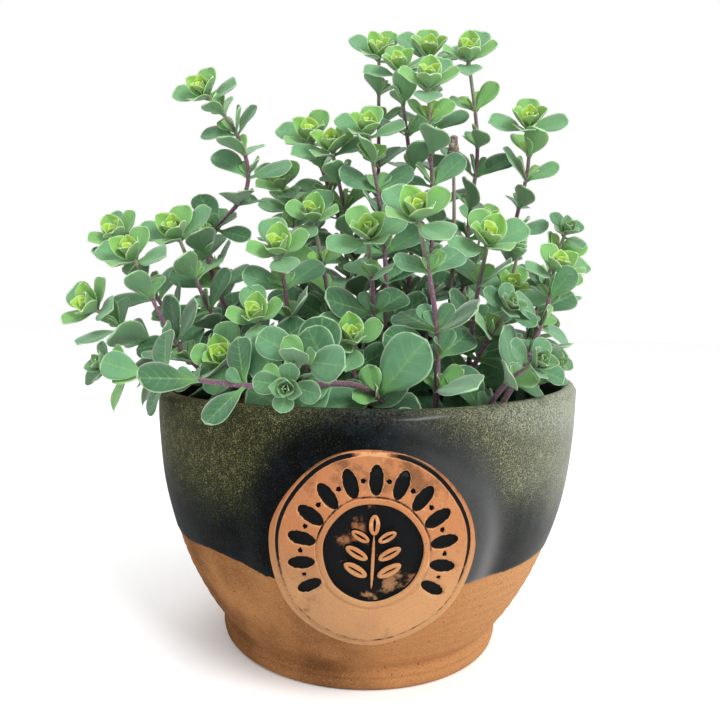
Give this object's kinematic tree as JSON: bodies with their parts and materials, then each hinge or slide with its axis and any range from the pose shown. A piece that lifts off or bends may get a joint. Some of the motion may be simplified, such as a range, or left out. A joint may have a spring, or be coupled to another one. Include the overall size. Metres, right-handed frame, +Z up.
{
  "type": "potted marjoram",
  "caption": "Bushy sweet marjoram plant with leafy, trailing and budding shoots, in a round thrown clay pot with a dark glaze, bare clay foot and an applied front medallion.",
  "frame": {"origin": "centre of the pot's flat foot, on the surface it stands on", "axes": "+Z up along the pot's axis, -Y towards the medallion on the front"},
  "size_m": [0.191, 0.1614, 0.2247],
  "materials": {
    "pot": "satin speckled dark glaze above bare grainy clay",
    "clay": "matte bare clay with glaze in its recesses",
    "soil": "rough dark crumbs",
    "leafy": "soft fuzzy leaves on purple-brown stems",
    "budding": "fuzzy green-brown buds",
    "dry": "matte dry grey"
  },
  "bodies": {
    "root": {"pot": "pot", "medallion": "clay", "soil": "soil", "shoot_left_tall": "leafy", "shoot_left_inner": "leafy", "shoot_left_front": "leafy", "shoot_left_outer": "leafy", "shoot_left_low": "leafy", "shoot_trailing": "leafy", "shoot_front_hanging": "leafy", "shoot_front_left_low": "leafy", "shoot_front_left": "leafy", "shoot_middle_left_front": "leafy", "shoot_middle_left": "leafy", "shoot_middle_back_left": "leafy", "shoot_centre_left": "leafy", "shoot_centre": "leafy", "shoot_centre_front": "leafy", "shoot_front_centre_low": "leafy", "shoot_front_right": "leafy", "shoot_tall_middle": "leafy", "shoot_tall_right_middle": "leafy", "shoot_tall_back_left": "leafy", "shoot_tall_back": "leafy", "shoot_tall_right": "leafy", "shoot_right_back": "leafy", "shoot_right_middle": "leafy", "shoot_right_front": "leafy", "shoot_right_outer": "leafy", "shoot_right_low": "leafy", "shoot_right_inner_low": "leafy", "shoot_front_right_low": "leafy", "shoot_budding": "budding", "dry_seed_head": "dry", "shoot_back_left": "leafy", "shoot_back_far_left": "leafy", "shoot_back_middle_left": "leafy", "shoot_back_right": "leafy", "shoot_back_far_right": "leafy", "shoot_back_middle": "leafy"}
  },
  "joints": []
}
